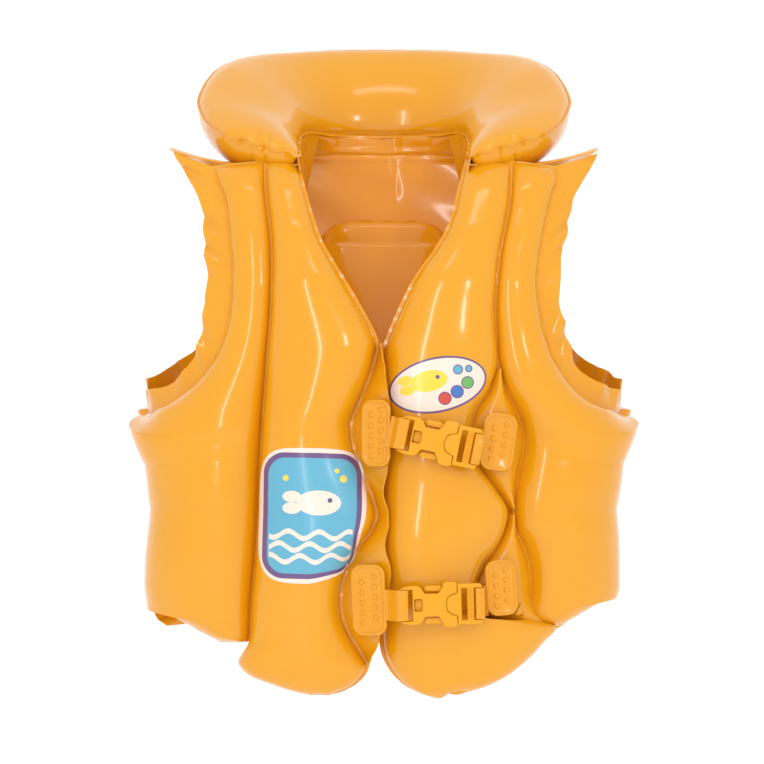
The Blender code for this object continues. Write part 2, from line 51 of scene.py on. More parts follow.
# the torso that the vest is shaped round, as in the CAD: (z, value) profiles in metres
SIDE_HALF_WIDTH = [(0.00, 0.168), (0.08, 0.170), (0.14, 0.163), (0.18, 0.168), (0.215, 0.184),
                   (0.42, 0.188)]
FRONT_DEPTH = [(0.00, 0.080), (0.12, 0.086), (0.31, 0.086), (0.35, 0.076), (0.38, 0.062), (0.41, 0.042)]
BACK_DEPTH = [(0.00, 0.074), (0.20, 0.078), (0.35, 0.078), (0.40, 0.060)]
YOKE_DEPTH = [(0.35, 0.078), (0.44, 0.083)]
DEPTHS = {"front": FRONT_DEPTH, "back": BACK_DEPTH, "yoke": YOKE_DEPTH}
SIDE_GAP = 0.5 * MM            # front and back meet this close to the side seam's plane

FILM = 0.8 * MM                # two vinyl films welded together
WELD = 2.4 * MM                # width of a free weld
JOIN = 0.9 * MM                # half width of a weld shared by two chambers
YOKE_OUT = 1.3 * MM            # the yoke panel lies this far behind the back chambers' welds
CURVE_STEPS = 20               # straight pieces between two points of an outline
FACING = -0.22                 # a print stops where the chamber turns further than this from the front
PRINT_OUT, PRINT_IN = 0.32 * MM, -0.25 * MM          # a print's faces from the chamber's surface

pieces = {}


# ---------------------------------------------------------------- curves and surfaces

def curve(points, t):
    """Catmull-Rom curve through the points, read at arc-length fractions t."""
    p = np.array(points, float)
    p = np.vstack([2 * p[0] - p[1], p, 2 * p[-1] - p[-2]])
    fine = []
    for k in range(1, len(p) - 2):
        for s in np.linspace(0, 1, CURVE_STEPS, endpoint=False):
            a, b, c, d = p[k - 1], p[k], p[k + 1], p[k + 2]
            fine.append(0.5 * (2 * b + (c - a) * s + (2 * a - 5 * b + 4 * c - d) * s**2
                               + (3 * b - a - 3 * c + d) * s**3))
    fine = np.array(fine + [p[-2]])
    run = np.concatenate([[0], np.cumsum(np.linalg.norm(np.diff(fine, axis=0), axis=1))])
    want = np.asarray(t, float) * run[-1]
    return np.stack([np.interp(want, run, fine[:, k]) for k in range(fine.shape[1])], axis=1), run[-1]


def torso_points(side, angle, z, out=0.0):
    """Points on the torso's middle surface, moved outward by out metres."""
    half = np.interp(z, *zip(*SIDE_HALF_WIDTH))
    depth = np.interp(z, *zip(*DEPTHS[side]))
    away = -1 if side == "front" else 1
    p = np.stack([half * np.sin(angle), away * depth * np.cos(angle), z], axis=-1)
    n = np.stack([np.sin(angle) / half, away * np.cos(angle) / depth, 0 * z], axis=-1)
    return p + n / np.linalg.norm(n, axis=-1, keepdims=True) * np.asarray(out)[..., None]


def torso_angle(side, x, z):
    """Angle round the torso, from its front or back centre, of the points at x and z."""
    half = np.interp(z, *zip(*SIDE_HALF_WIDTH))
    depth = np.interp(z, *zip(*DEPTHS[side]))
    limit = np.arccos(SIDE_GAP / depth)
    return np.clip(np.arcsin(np.clip(x / half, -1, 1)), -limit, limit)


def spaced(count, margin_a, margin_b):
    """Fractions from 0 to 1 with one step of margin at each end and closer points near the ends."""
    k = np.linspace(0, 1, count - 2)
    k = 0.55 * k + 0.45 * (1 - np.cos(np.pi * k)) / 2
    return np.concatenate([[0], margin_a + (1 - margin_a - margin_b) * k, [1]])


def wrapped(side, edge_a, edge_b, rows, columns, margins, lift=None):
    """Grid on the torso between two outlines in millimetres (x, z), from top to bottom.

    margins are the weld widths at edge_a, edge_b, the top and the bottom, in metres.
    """
    length = 0.5 * (curve(edge_a, [0])[1] + curve(edge_b, [0])[1]) * MM
    t = spaced(rows, margins[2] / length, margins[3] / length)
    a, b = curve(edge_a, t)[0] * MM, curve(edge_b, t)[0] * MM
    angle_a, angle_b = torso_angle(side, a[:, 0], a[:, 1]), torso_angle(side, b[:, 0], b[:, 1])
    wide = torso_points(side, angle_a, a[:, 1]) - torso_points(side, angle_b, b[:, 1])
    wide = np.linalg.norm(wide, axis=1)
    grid = np.zeros((rows, columns, 3))
    for i in range(rows):
        u = spaced(columns, min(0.3, margins[0] / wide[i]), min(0.3, margins[1] / wide[i]))
        angle, z = angle_a[i] + (angle_b[i] - angle_a[i]) * u, a[i, 1] + (b[i, 1] - a[i, 1]) * u
        grid[i] = torso_points(side, angle, z, lift(u, t[i]) if lift else 0 * u)
    return grid


def normals(grid):
    """Unit normals of a grid's surface."""
    n = np.cross(np.gradient(grid, axis=1), np.gradient(grid, axis=0))
    return n / np.maximum(np.linalg.norm(n, axis=2, keepdims=True), 1e-9)


def swell(grid):
    """How far two welded films of this outline stand apart when blown up round, at each grid point."""
    rows, columns = grid.shape[:2]
    dx = np.linalg.norm(np.diff(grid, axis=1), axis=2)
    dy = np.linalg.norm(np.diff(grid, axis=0), axis=2)
    inner = [(i, j) for i in range(2, rows - 2) for j in range(2, columns - 2)]
    number = {ij: k for k, ij in enumerate(inner)}
    lhs = np.zeros((len(inner), len(inner)))
    rhs = np.zeros(len(inner))
    for (i, j), k in number.items():
        high, wide = 0.5 * (dy[i - 1, j] + dy[i, j]), 0.5 * (dx[i, j - 1] + dx[i, j])
        for other, w in (((i, j - 1), high / dx[i, j - 1]), ((i, j + 1), high / dx[i, j]),
                         ((i - 1, j), wide / dy[i - 1, j]), ((i + 1, j), wide / dy[i, j])):
            lhs[k, k] += w
            if other in number:
                lhs[k, number[other]] -= w
        rhs[k] = high * wide
    field = np.zeros((rows, columns))
    field[2:-2, 2:-2] = np.linalg.solve(lhs, rhs).reshape(rows - 4, columns - 4)
    return np.sqrt(2 * np.maximum(field, 0))


def creases(run, spacing, seed, sharp=3):
    """Narrow creases of uneven spacing and strength along a weld, 0 to 1."""
    phase = 2 * np.pi * run / spacing + 1.7 * np.sin(2 * np.pi * run / (4.3 * spacing) + seed) \
        + 0.9 * np.sin(2 * np.pi * run / (2.1 * spacing) + 2.6 * seed)
    strength = 0.55 + 0.45 * np.sin(2 * np.pi * run / (3.1 * spacing) + 4.1 * seed)
    return np.maximum(0, np.cos(phase)) ** sharp * strength


def edge_runs(grid):
    """Distance of each grid point from the four edges, and the run along each edge."""
    dx = np.linalg.norm(np.diff(grid, axis=1), axis=2)
    dy = np.linalg.norm(np.diff(grid, axis=0), axis=2)
    across = np.concatenate([np.zeros((grid.shape[0], 1)), np.cumsum(dx, axis=1)], axis=1)
    down = np.concatenate([np.zeros((1, grid.shape[1])), np.cumsum(dy, axis=0)], axis=0)
    yield across, down[:, :1] + 0 * down
    yield across[:, -1:] - across, down[:, -1:] + 0 * down
    yield down, across
    yield down[-1:] - down, across


def mesh_object(name, verts, faces, smooth=40):
    """Smooth-shaded mesh with sharp edges above the angle smooth, in degrees, or with none if it is 0."""
    mesh = bpy.data.meshes.new(name)
    mesh.from_pydata([tuple(v) for v in verts], [], faces)
    mesh.validate()
    bm = bmesh.new()
    bm.from_mesh(mesh)
    bmesh.ops.recalc_face_normals(bm, faces=bm.faces)
    bm.to_mesh(mesh)
    bm.free()
    obj = bpy.data.objects.new(name, mesh)
    bpy.context.scene.collection.objects.link(obj)
    mesh.shade_smooth()
    if smooth:
        mesh.set_sharp_from_angle(angle=math.radians(smooth))
    pieces[name] = obj
    return obj


def two_skins(name, top, bottom, smooth=60):
    """Closed mesh between two grids of the same size."""
    rows, columns = top.shape[:2]
    count = rows * columns
    verts = np.concatenate([top.reshape(-1, 3), bottom.reshape(-1, 3)])
    faces = []
    for i in range(rows - 1):
        for j in range(columns - 1):
            a, d = i * columns + j, (i + 1) * columns + j
            b, c = a + 1, d + 1
            faces += [(a, b, c, d), (a + count, d + count, c + count, b + count)]
    rim = [(0, j) for j in range(columns)] + [(i, columns - 1) for i in range(1, rows)]
    rim += [(rows - 1, j) for j in range(columns - 2, -1, -1)] + [(i, 0) for i in range(rows - 2, 0, -1)]
    for (i, j), (k, m) in zip(rim, rim[1:] + rim[:1]):
        a, b = i * columns + j, k * columns + m
        faces.append((a, a + count, b + count, b))
    return mesh_object(name, verts, faces, smooth)


def chamber(name, grid, plump, under=1.0, pucker=(1, 1, 1, 1), seed=1.0, spacing=11 * MM, depth=1.3 * MM,
            reach=9 * MM, sharp=3):
    """One air chamber: two films, welded all round, blown up and puckered along the welds."""
    normal = normals(grid)
    high = swell(grid)
    wave = np.zeros(high.shape)
    flutter = np.zeros(high.shape)
    for k, (off, run) in enumerate(edge_runs(grid)):
        along = creases(run, spacing, seed + 1.3 * k, sharp)
        wave += pucker[k] * along * np.exp(-(off / reach) ** 1.5)
        ripple = np.sin(2 * np.pi * run / (1.6 * spacing) + seed * 3 + k)
        flutter += pucker[k] * ripple * np.exp(-off / (3 * MM))
    x, z = grid[..., 0], grid[..., 2]
    uneven = np.sin(57 * x + 31 * z + seed) + np.sin(41 * z - 73 * x + 2 * seed)
    uneven += 0.6 * np.sin(133 * z + 5 * seed)
    body = high * plump
    blown = body + 0.35 * MM * uneven * np.minimum(1, body / (10 * MM)) - depth * wave * (body > 0)
    blown = np.maximum(blown, 0)
    shake = flutter * 0.5 * MM
    top = grid + normal * (FILM / 2 + blown + shake)[..., None]
    bottom = grid - normal * (FILM / 2 + blown * under - shake)[..., None]
    return two_skins(name, top, bottom)


def film(name, grid, thick=FILM, wave=0.0, wavelength=0.03, seed=0.0):
    """A flat welded sheet on a grid, with waves that grow towards its last column."""
    normal = normals(grid)
    if wave:
        (off, _), (_, run) = list(edge_runs(grid))[:2]
        share = off / np.maximum(off[:, -1:], 1e-6)
        drift = 1.5 * np.sin(2 * np.pi * run / (2.7 * wavelength) + seed)
        ripple = np.sin(2 * np.pi * run / wavelength + seed + drift)
        crease = -creases(run, wavelength * 0.6, seed) * 0.8
        grid = grid + normal * (wave * share**1.2 * (ripple + crease))[..., None]
        normal = normals(grid)
    top, bottom = grid + normal * thick / 2, grid - normal * thick / 2
    obj = two_skins(name, top, bottom, smooth=50)
    return obj


def joined(name, objects):
    """Several closed pieces as one object."""
    bm = bmesh.new()
    for o in objects:
        mesh = o.data.copy()
        mesh.transform(o.matrix_world)
        bm.from_mesh(mesh)
        bpy.data.meshes.remove(mesh)
        pieces.pop(o.name, None)
        bpy.data.objects.remove(o)
    mesh = bpy.data.meshes.new(name)
    bm.to_mesh(mesh)
    bm.free()
    obj = bpy.data.objects.new(name, mesh)
    bpy.context.scene.collection.objects.link(obj)
    pieces[name] = obj
    return obj


# ---------------------------------------------------------------- materials

def nodes_of(name):
    """A new material with its node tree and its shader."""
    m = bpy.data.materials.new(name)
    m.use_nodes = True
    return m, m.node_tree, m.node_tree.nodes["Principled BSDF"]


def noise(tree, scale, detail=3.0, rough=0.5):
    """Socket of a noise texture in the object's own coordinates."""
    n = tree.nodes.new("ShaderNodeTexNoise")
    n.inputs["Scale"].default_value = scale
    n.inputs["Detail"].default_value = detail
    n.inputs["Roughness"].default_value = rough
    at = tree.nodes.new("ShaderNodeTexCoord")
    tree.links.new(at.outputs["Object"], n.inputs["Vector"])
    return n.outputs["Fac"]


def ramp(tree, factor, stops):
    """Colour socket of a ramp with stops of (position, colour)."""
    r = tree.nodes.new("ShaderNodeValToRGB")
    for e, (at, colour) in zip(r.color_ramp.elements, stops):
        e.position = at
        e.color = (*colour, 1)
    tree.links.new(factor, r.inputs["Fac"])
    return r.outputs["Color"]


def spread(tree, factor, low, high):
    """Socket that maps a factor of 0 to 1 onto low to high."""
    r = tree.nodes.new("ShaderNodeMapRange")
    r.inputs["To Min"].default_value = low
    r.inputs["To Max"].default_value = high
    tree.links.new(factor, r.inputs["Value"])
    return r.outputs["Result"]


def bumps(tree, shader, layers):
    """Stack bump layers of (height socket, depth in metres) onto the shader's normal."""
    last = None
    for height, distance in layers:
        b = tree.nodes.new("ShaderNodeBump")
        b.inputs["Distance"].default_value = distance
        b.inputs["Strength"].default_value = 1.0
        tree.links.new(height, b.inputs["Height"])
        if last is not None:
            tree.links.new(last, b.inputs["Normal"])
        last = b.outputs["Normal"]
    tree.links.new(last, shader.inputs["Normal"])


def plastic(name, light, dark, rough, coat=0.5, coat_rough=0.08, grain=0.00003, grain_scale=900,
            glow=0.0):
    """Glossy vinyl or moulded plastic with cloudy colour, uneven gloss and a fine grain."""
    m, tree, shader = nodes_of(name)
    cloud = noise(tree, 14, 4, 0.55)
    tree.links.new(ramp(tree, cloud, [(0.3, dark), (0.7, light)]), shader.inputs["Base Color"])
    gloss = spread(tree, noise(tree, 55, 3, 0.6), rough - 0.05, rough + 0.07)
    tree.links.new(gloss, shader.inputs["Roughness"])
    bumps(tree, shader, [(noise(tree, 26, 2, 0.5), 0.0006), (noise(tree, grain_scale, 2, 0.5), grain)])
    shader.inputs["Specular IOR Level"].default_value = 0.3
    shader.inputs["Coat Weight"].default_value = coat
    shader.inputs["Coat Roughness"].default_value = coat_rough
    if glow:
        shader.inputs["Subsurface Weight"].default_value = glow
        shader.inputs["Subsurface Radius"].default_value = (1.0, 0.35, 0.08)
        shader.inputs["Subsurface Scale"].default_value = 0.006
    return m


VINYL = plastic("vinyl", (0.765, 0.330, 0.005), (0.757, 0.318, 0.004), 0.19)
# back chambers and yoke panel: painted shade, a redder and less yellow copy of the vinyl for the deep orange
# shade inside the vest
SHADED_BACK_VINYL = plastic("painted_shade_back_vinyl", (0.785, 0.306, 0.005), (0.775, 0.292, 0.004), 0.21)
PAD_VINYL = plastic("pad_vinyl", (0.765, 0.325, 0.005), (0.752, 0.306, 0.004), 0.23, grain=0.00005,
                    grain_scale=600)
STRAP_VINYL = plastic("strap_vinyl", (0.762, 0.318, 0.005), (0.748, 0.297, 0.004), 0.27, grain=0.00005)
NYLON = plastic("buckle_nylon", (0.770, 0.345, 0.006), (0.755, 0.322, 0.005), 0.32, coat=0.1,
                coat_rough=0.3, grain=0.00004, grain_scale=1500)
CLEAR = plastic("valve_vinyl", (0.900, 0.520, 0.120), (0.870, 0.470, 0.090), 0.22, coat=0.4, glow=0.4)


def paint(obj, material):
    """Give a piece its material."""
    obj.data.materials.clear()
    obj.data.materials.append(material)
    return obj


# ---------------------------------------------------------------- outlines, millimetres from the front

LEFT_VALLEY = [(-91, 407), (-90, 383), (-85, 340), (-85, 296), (-88, 254), (-91, 210), (-93, 173),
               (-94, 141), (-96, 108), (-99, 75), (-101, 44)]
LEFT_EDGE = [(-66, 408), (-57, 375), (-48, 347), (-37, 327), (-24, 306), (-12, 285), (-4, 267), (-6, 252),
             (-12, 234), (-18, 220), (-23, 206), (-21, 188), (-14, 168), (-7, 150), (-4, 137), (-8, 126),
             (-16, 115), (-24, 101), (-30, 84), (-30, 63), (-24, 47), (-16, 34), (-11, 24), (-17, 13),
             (-29, 5), (-42, 1)]
LEFT_HEM = [(-107, 32), (-110, 24), (-102, 15), (-86, 9), (-70, 4), (-56, 1)]
LEFT_ARMHOLE = [(-133, 403), (-128, 388), (-123, 377), (-120, 360), (-117, 334), (-116, 312), (-118, 286),
                (-124, 264), (-135, 245), (-148, 231), (-162, 221), (-175, 215), (-188, 212)]
LEFT_SIDE = [(-189, 200), (-186, 182), (-183, 150), (-184, 110), (-180, 86), (-170, 72), (-158, 62),
             (-145, 50)]
RIGHT_VALLEY = [(98, 407), (95, 371), (88, 337), (84, 303), (84, 277), (86, 250)]
RIGHT_EDGE = [(63, 408), (57, 384), (50, 358), (39, 338), (25, 319), (16, 303), (8, 286), (2, 272),
              (-2, 260), (-4, 238), (-4, 190), (-4, 150), (-4, 100), (-4, 60), (-3, 36), (4, 20), (16, 8),
              (31, 2), (42, 1)]
RIGHT_TUBE = [(79, 230), (70, 216), (66, 200), (67, 184), (74, 170), (84, 156), (93, 141), (92, 128),
              (86, 114), (77, 101), (71, 88), (70, 78), (74, 68), (83, 62), (96, 60), (110, 58.5),
              (130, 51.5), (121, 40), (109, 27), (92, 14), (74, 6), (58, 2)]
RIGHT_SIDE_TUBE = [(92, 230), (99, 216), (104, 201), (105, 188), (101, 168), (98, 153), (97, 139),
                   (99, 125), (104, 114), (108, 103), (110, 89), (110, 76), (109, 62), (114, 54.5),
                   (132, 49)]
RIGHT_ARMHOLE = [(131, 403), (134, 391), (129, 378), (122, 349), (118, 327), (117, 304), (121, 279),
                 (128, 256), (142, 234), (162, 219), (187, 212)]
RIGHT_SIDE = [(189, 200), (185, 185), (181, 150), (182, 110), (178, 90), (169, 78), (159, 69), (148, 60)]
BACK_ARMHOLE = [(-130, 392), (-121, 366), (-117, 330), (-117, 296), (-124, 264), (-138, 243), (-156, 229),
                (-188, 214)]
LEFT_FLANGE = [(-163, 416), (-157, 404), (-149, 391), (-142, 378), (-138, 360), (-137, 342), (-135, 320),
               (-136, 300), (-139, 276), (-145, 257), (-155, 243), (-168, 234), (-184, 231), (-190, 230)]
RIGHT_FLANGE = [(166, 414), (159, 402), (151, 388), (144, 374), (139, 350), (134, 327), (133, 304),
                (136, 284), (140, 268), (146, 251), (158, 240), (174, 233), (190, 230)]
PLACKET = [(-3, 266), (1, 250), (2, 233), (4, 215), (5, 185), (2, 173), (0, 153), (3, 133), (1, 115),
           (5, 98), (4, 85), (0, 60), (-4, 45), (-9, 27)]


def bend(obj):
    """Vinyl piece with its transform baked into its mesh."""
    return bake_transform(obj)


def fronts():
    """The four front chambers."""
    rows, cols = ((150, 34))
    free = (JOIN, WELD, WELD, WELD)
    tuck = lambda u, t: -8 * MM * (1 - u) ** 2
    plans = [
        ("left_front_tube", LEFT_VALLEY + LEFT_HEM, LEFT_EDGE, free, None,
         0.66, 1.0, (0.12, 1.0, 0.3, 0.9), "left_front_chamber"),
        ("left_side_tube", LEFT_ARMHOLE + LEFT_SIDE, LEFT_VALLEY + [(-106, 40), (-124, 39)],
         (WELD, JOIN, WELD, WELD), None, 0.62, 1.0, (0.5, 0.15, 0.3, 0.8), "left_side_chamber"),
        ("right_front_tube", RIGHT_EDGE, RIGHT_VALLEY + RIGHT_TUBE, (WELD, JOIN, WELD, WELD),
         tuck, 0.58, 0.85, (0.6, 0.35, 0.3, 0.9), "right_front_chamber"),
        ("right_side_tube", RIGHT_VALLEY + RIGHT_SIDE_TUBE, RIGHT_ARMHOLE + RIGHT_SIDE,
         (JOIN, WELD, WELD, WELD), None, 0.62, 1.0, (0.3, 0.5, 0.3, 0.8), "right_side_chamber"),
    ]
    for k, (name, a, b, margins, lift, plump, under, pucker, node) in enumerate(plans):
        grid = wrapped("front", a, b, rows, cols, margins, lift)
        obj = chamber(name, grid, plump, under, pucker, 1.7 * k + 1)
        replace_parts(paint(obj, VINYL), node)


def backs():
    """The three back chambers and the yoke panel above them."""
    rows, cols = ((120, 30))
    centre = [(-27, 367), (-42, 362), (-52, 351), (-57.6, 332), (-57.8, 290), (-57.8, 90), (-57, 62),
              (-51, 42), (-39, 31), (-26, 27)]
    grid = wrapped("back", centre, [(-x, z) for x, z in centre], rows, cols, (JOIN, JOIN, WELD, WELD))
    obj = chamber("back_center_tube", grid, 0.36, pucker=(0.2, 0.2, 0.6, 0.8), seed=8)
    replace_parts(paint(obj, SHADED_BACK_VINYL), "back_center_chamber")
    for name, node, s in (("back_left_tube", "back_left_chamber", -1),
                          ("back_right_tube", "back_right_chamber", 1)):
        inner = [(s * x, z) for x, z in [(68, 396), (60.5, 372), (57.5, 332), (57.6, 200), (57.6, 90),
                                         (59, 66), (72, 56)]]
        outer = [(-s * x, z) for x, z in BACK_ARMHOLE + [(-188, 186), (-183, 140), (-180, 108), (-164, 92),
                                                        (-134, 76)]]
        obj = chamber(name, wrapped("back", inner, outer, rows, cols, (JOIN, WELD, WELD, WELD)), 0.40,
                      pucker=(0.2, 0.5, 0.5, 0.8), seed=9 + s)
        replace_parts(paint(obj, SHADED_BACK_VINYL), node)
    yoke = [(-66, 436), (-73, 412), (-73, 388), (-66, 365), (-60, 338)]
    grid = wrapped("yoke", yoke, [(-x, z) for x, z in yoke], 46, 60, (WELD,) * 4,
                   lambda u, t: YOKE_OUT + 0 * u)
    x, z = grid[..., 0], grid[..., 2]
    grid[..., 1] += 1.2 * MM * np.exp(-((x - 9 * MM) / (2.5 * MM)) ** 2) * np.clip((z - 0.372) / 0.02, 0, 1)
    grid[..., 1] += 1.0 * MM * np.sin(z * 900) * np.exp(-((z - 0.420) / 0.006) ** 2)
    grid[..., 1] += 0.8 * MM * np.sin(70 * x + 150 * z)
    to_collar = np.interp(np.abs(x), [0, 0.038, 0.052, 0.066], [0, 0.0060, 0.0140, 0.0220])
    grid[..., 1] -= to_collar * np.clip((z - 0.412) / 0.022, 0, 1) ** 1.5
    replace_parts(paint(film("yoke_panel", grid), SHADED_BACK_VINYL), "back_yoke")


def collar():
    """Horseshoe head pillow, welded along the neck and round its outer rim."""
    inner = [(0.0670, -0.057, 0.4090), (0.0630, -0.045, 0.4105), (0.0655, 0.000, 0.4215),
             (0.0610, 0.045, 0.4345), (0.0380, 0.074, 0.4350), (0.0, 0.083, 0.4345)]
    outer = [(0.1240, -0.036, 0.4275), (0.1360, -0.015, 0.4360), (0.1435, 0.005, 0.4460),
             (0.1480, 0.034, 0.4620), (0.1370, 0.070, 0.4870), (0.1140, 0.098, 0.5010),
             (0.0600, 0.118, 0.5090), (0.0, 0.124, 0.5110)]
    rows, cols = ((150, 52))
    t = spaced(rows, 0.004, 0.004)
    a, b = (curve([(-x, y, z) for x, y, z in half] + half[-2::-1], t)[0] for half in (inner, outer))
    wide = np.linalg.norm(b - a, axis=1)
    u = np.array([spaced(cols, WELD / w, WELD / w) for w in wide])
    grid = a[:, None] + (b - a)[:, None] * u[..., None]
    obj = chamber("collar_pillow_skin", grid, 0.78, under=0.5, pucker=(0.4, 0.5, 2.6, 2.6), seed=4.2,
                  spacing=12 * MM, depth=2.1 * MM, reach=9 * MM, sharp=9)
    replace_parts(paint(obj, VINYL), "collar_pillow")


def flat_vinyl():
    """Placket, webs, armhole flanges, shoulder panels and neck strips."""
    weld = LEFT_EDGE[6:-3]
    grid = wrapped("front", weld, PLACKET, 110, 9, (WELD, WELD, WELD, WELD),
                   lambda u, t: (1 + 15 * u) * MM)
    placket = paint(film("placket", grid, wave=1.0 * MM, wavelength=0.045, seed=1), VINYL)
    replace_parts(placket, "left_placket")
    webs = {"right_upper_web": ([(84, 247), (79, 230), (70, 216), (66, 200), (67, 184), (74, 170),
                                 (84, 156), (94, 142)],
                                [(87, 247), (92, 230), (99, 216), (104, 201), (105, 188), (101, 168),
                                 (98, 153), (97, 142)]),
            "right_lower_web": ([(93, 137), (92, 128), (86, 114), (77, 101), (71, 88), (70, 78), (74, 66),
                                 (84, 58), (100, 54), (108, 52)],
                                [(97, 137), (99, 125), (104, 114), (108, 103), (110, 89), (111, 76),
                                 (115, 67), (123, 60), (127, 56), (126, 52)])}
    for name, (a, b) in webs.items():
        grid = wrapped("front", a, b, 60, 16, (WELD,) * 4, lambda u, t: 8 * MM * np.sin(np.pi * u))
        obj = paint(film(name + "_film", grid), VINYL)
        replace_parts(obj, name)
    out = []
    back_edge = [(-150, 402), (-141, 372), (-138, 340), (-138, 300), (-146, 270), (-159, 256), (-175, 246),
                 (-189, 236)]
    plans = [("left_front_armhole", "left_front_armhole_flange", "front", LEFT_ARMHOLE, LEFT_FLANGE),
             ("right_front_armhole", "right_front_armhole_flange", "front", RIGHT_ARMHOLE, RIGHT_FLANGE),
             ("left_back_armhole", "left_back_armhole_flange", "back", BACK_ARMHOLE, back_edge),
             ("right_back_armhole", "right_back_armhole_flange", "back", [(-x, z) for x, z in BACK_ARMHOLE],
              [(-x, z) for x, z in back_edge])]
    for k, (name, node, side, seam, edge) in enumerate(plans):
        grid = wrapped(side, seam, edge, 120, 12, (WELD,) * 4)
        obj = film(name + "_film", grid, wave=2.2 * MM, wavelength=0.031, seed=1.1 * k)
        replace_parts(paint(obj, VINYL), node)
    for name, s in (("left_shoulder", -1), ("right_shoulder", 1)):
        t = np.linspace(0, 1, 40)
        inner = curve([(s * 0.0655, -0.048, 0.4030), (s * 0.0660, -0.025, 0.4100),
                       (s * 0.0660, 0.010, 0.4165),
                       (s * 0.0645, 0.045, 0.4190), (s * 0.0620, 0.074, 0.4020)], t)[0]
        outer = curve([(s * 0.163, -0.022, 0.4150), (s * 0.1665, -0.008, 0.4185),
                       (s * 0.1675, 0.008, 0.4190),
                       (s * 0.158, 0.034, 0.4110), (s * 0.134, 0.056, 0.3880)], t)[0]
        u = np.linspace(0, 1, 40)
        grid = inner[:, None] + (outer - inner)[:, None] * u[None, :, None]
        grid[..., 2] -= 10 * MM * np.sin(np.pi * u)[None, :] * np.sin(np.pi * (0.15 + 0.7 * t))[:, None]
        grid[..., 2] += 1.2 * MM * (u**3)[None, :] * np.sin(t * 19)[:, None]
        obj = film(name + "_film", grid, thick=1.2 * MM)
        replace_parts(paint(obj, VINYL), name + "_panel")
    for name, s in (("left_neck", -1), ("right_neck", 1)):
        t = np.linspace(0, 1, 40)
        low = curve([(s * 0.0640, -0.050, 0.3980), (s * 0.0650, 0.000, 0.4030), (s * 0.0650, 0.045, 0.3990),
                     (s * 0.0645, 0.066, 0.3940), (s * 0.0635, 0.0770, 0.3900)], t)[0]
        high = curve([(s * 0.0662, -0.054, 0.4095), (s * 0.0662, 0.000, 0.4215),
                      (s * 0.0614, 0.045, 0.4345),
                      (s * 0.0565, 0.056, 0.4350), (s * 0.0520, 0.0630, 0.4350)], t)[0]
        grid = low[:, None] + (high - low)[:, None] * np.linspace(0, 1, 10)[None, :, None]
        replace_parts(paint(film(name + "_film", grid), VINYL), name + "_strip")


def side_seams():
    """The soft bands between the front and the back along which each front half swings open."""
    z, y = np.linspace(0.206, 0.092, 50), np.linspace(7, -7, 13) * MM    # down the seam and across it
    half = np.interp(z, *zip(*SIDE_HALF_WIDTH))
    depth = np.interp(z, *zip(*FRONT_DEPTH))
    for side, s in (("left", -1), ("right", 1)):
        grid = np.zeros((len(z), len(y), 3))
        grid[..., 0] = s * half[:, None] * np.sqrt(1 - (y[None, :] / depth[:, None]) ** 2)
        grid[..., 1], grid[..., 2] = y[None, :], z[:, None]
        obj = paint(film(f"{side}_side_seam", grid), VINYL)
        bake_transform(obj)


# ---------------------------------------------------------------- tabs, straps and buckles

TAB_THICK = 2.6 * MM
UPPER_BUCKLE = dict(centre=(0.0407, -0.1165, 0.1930), roll=11.6, yaw=4.0)
LOWER_BUCKLE = dict(centre=(0.0421, -0.1165, 0.0722), roll=-1.4, yaw=4.0)
TABS = {
    "left_upper_tab": dict(centre=(-0.0066, -0.1032, 0.1990), size=(24, 50), roll=0, yaw=-28),
    "left_lower_tab": dict(centre=(-0.0120, -0.1010, 0.0745), size=(28, 53), roll=-3, yaw=-25),
    "right_upper_tab": dict(centre=(0.0860, -0.0915, 0.1922), size=(26, 43), roll=8, yaw=14),
    "right_lower_tab": dict(centre=(0.0880, -0.0900, 0.0828), size=(24, 42), roll=-4, yaw=14),
}


def pose(centre, roll, yaw):
    """Matrix of a piece lying on the front: local x along it, y up it, z out of the vest."""
    facing = Matrix(((1, 0, 0, 0), (0, 0, -1, 0), (0, 1, 0, 0), (0, 0, 0, 1)))
    turn = Matrix.Rotation(math.radians(yaw), 4, "Z")
    return Matrix.Translation(centre) @ turn @ facing @ Matrix.Rotation(math.radians(-roll), 4, "Z")


def rounded(width, height, radius, steps=8):
    """Outline of a rectangle with rounded corners."""
    out = []
    for cx, cy, start in ((1, 1, 0), (-1, 1, 90), (-1, -1, 180), (1, -1, 270)):
        for k in range(steps + 1):
            angle = math.radians(start + 90 * k / steps)
            out.append((cx * (width / 2 - radius) + radius * math.cos(angle),
                        cy * (height / 2 - radius) + radius * math.sin(angle)))
    return out


def ringed(name, rings, place):
    """Closed solid from rings of points (x, y, z in millimetres), capped at both ends."""
    count = len(rings[0])
    verts = [place @ (Vector(p) * MM) for ring in rings for p in ring]
    faces = [tuple(range(count))[::-1], tuple(range((len(rings) - 1) * count, len(rings) * count))]
    for k in range(len(rings) - 1):
        for j in range(count):
            m = (j + 1) % count
            faces.append((k * count + j, k * count + m, (k + 1) * count + m, (k + 1) * count + j))
    return mesh_object(name, verts, faces, 50)


